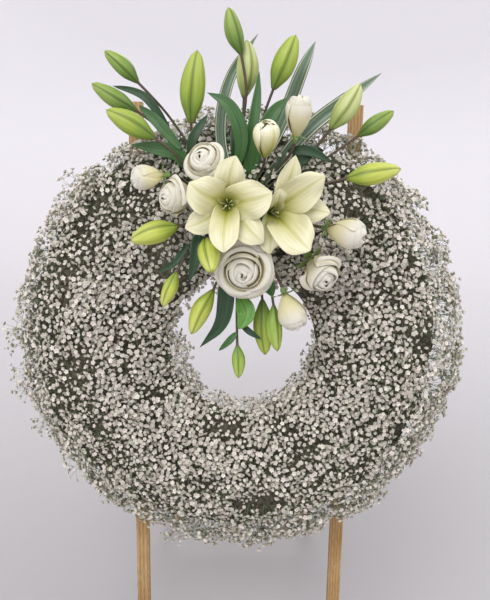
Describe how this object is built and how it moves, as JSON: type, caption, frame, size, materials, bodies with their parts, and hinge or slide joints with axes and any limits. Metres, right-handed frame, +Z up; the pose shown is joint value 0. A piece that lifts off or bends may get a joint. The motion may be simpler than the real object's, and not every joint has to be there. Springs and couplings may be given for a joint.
{
  "type": "funeral wreath",
  "caption": "Standing ring wreath of white gypsophila with a spray of white lilies, roses and lily buds at the top, on a leaning wooden easel.",
  "frame": {"origin": "on the floor, under the middle of the whole object's box", "axes": "+Z up, -Y to the front, which the flowers face, +X to the viewer's right"},
  "size_m": [0.846, 0.7164, 1.4436],
  "materials": {
    "pine_batten": "sawn pine, unvarnished",
    "straw": "pressed straw bound with twine, rough",
    "tie_wire": "green lacquered florist's wire, satin",
    "floral_foam": "wet floral foam, fine open cell",
    "gypsophila": "tiny white double florets on thin green-brown stems",
    "lily_petal": "waxy cream-white petals, green-yellow at the throat",
    "rose_petal": "velvety cream-white petals",
    "lily_bud": "waxy yellow-green bud skin with ribs",
    "striped_blade": "grey-green blade with cream margins, satin",
    "lily_leaf": "dark green leaf, satin, parallel veins"
  },
  "bodies": {
    "root": {"left_post": "pine_batten", "right_post": "pine_batten", "upper_rail": "pine_batten", "lower_rail": "pine_batten", "left_rear_leg": "pine_batten", "right_rear_leg": "pine_batten", "rear_rail": "pine_batten", "left_brace": "pine_batten", "right_brace": "pine_batten", "straw_ring": "straw", "wire_tie_1": "tie_wire", "wire_tie_2": "tie_wire", "wire_tie_3": "tie_wire", "wire_tie_4": "tie_wire", "foam_block": "floral_foam", "gypsophila_bunch_1": "gypsophila", "gypsophila_bunch_2": "gypsophila", "gypsophila_bunch_3": "gypsophila", "gypsophila_bunch_4": "gypsophila", "gypsophila_bunch_5": "gypsophila", "gypsophila_bunch_6": "gypsophila", "gypsophila_bunch_7": "gypsophila", "gypsophila_bunch_8": "gypsophila", "lily_left": "lily_petal", "lily_right": "lily_petal", "lily_opening": "lily_petal", "rose_far_left": "rose_petal", "rose_upper_left": "rose_petal", "rose_left": "rose_petal", "rose_upper_right": "rose_petal", "rose_right": "rose_petal", "rose_lower_right": "rose_petal", "rose_hanging": "rose_petal", "rose_open": "rose_petal", "lily_bud_01": "lily_bud", "lily_bud_02": "lily_bud", "lily_bud_03": "lily_bud", "lily_bud_04": "lily_bud", "lily_bud_05": "lily_bud", "lily_bud_06": "lily_bud", "lily_bud_07": "lily_bud", "lily_bud_08": "lily_bud", "lily_bud_09": "lily_bud", "lily_bud_10": "lily_bud", "lily_bud_11": "lily_bud", "lily_bud_12": "lily_bud", "lily_bud_13": "lily_bud", "lily_bud_14": "lily_bud", "lily_bud_15": "lily_bud", "lily_bud_16": "lily_bud", "lily_bud_17": "lily_bud", "striped_blade_left": "striped_blade", "striped_blade_middle": "striped_blade", "striped_blade_right": "striped_blade", "leaf_upper_left": "lily_leaf", "leaf_upper_middle": "lily_leaf", "leaf_upper_right": "lily_leaf", "leaf_far_left": "lily_leaf", "leaf_lower_left": "lily_leaf", "leaf_hanging": "lily_leaf"}
  },
  "joints": []
}
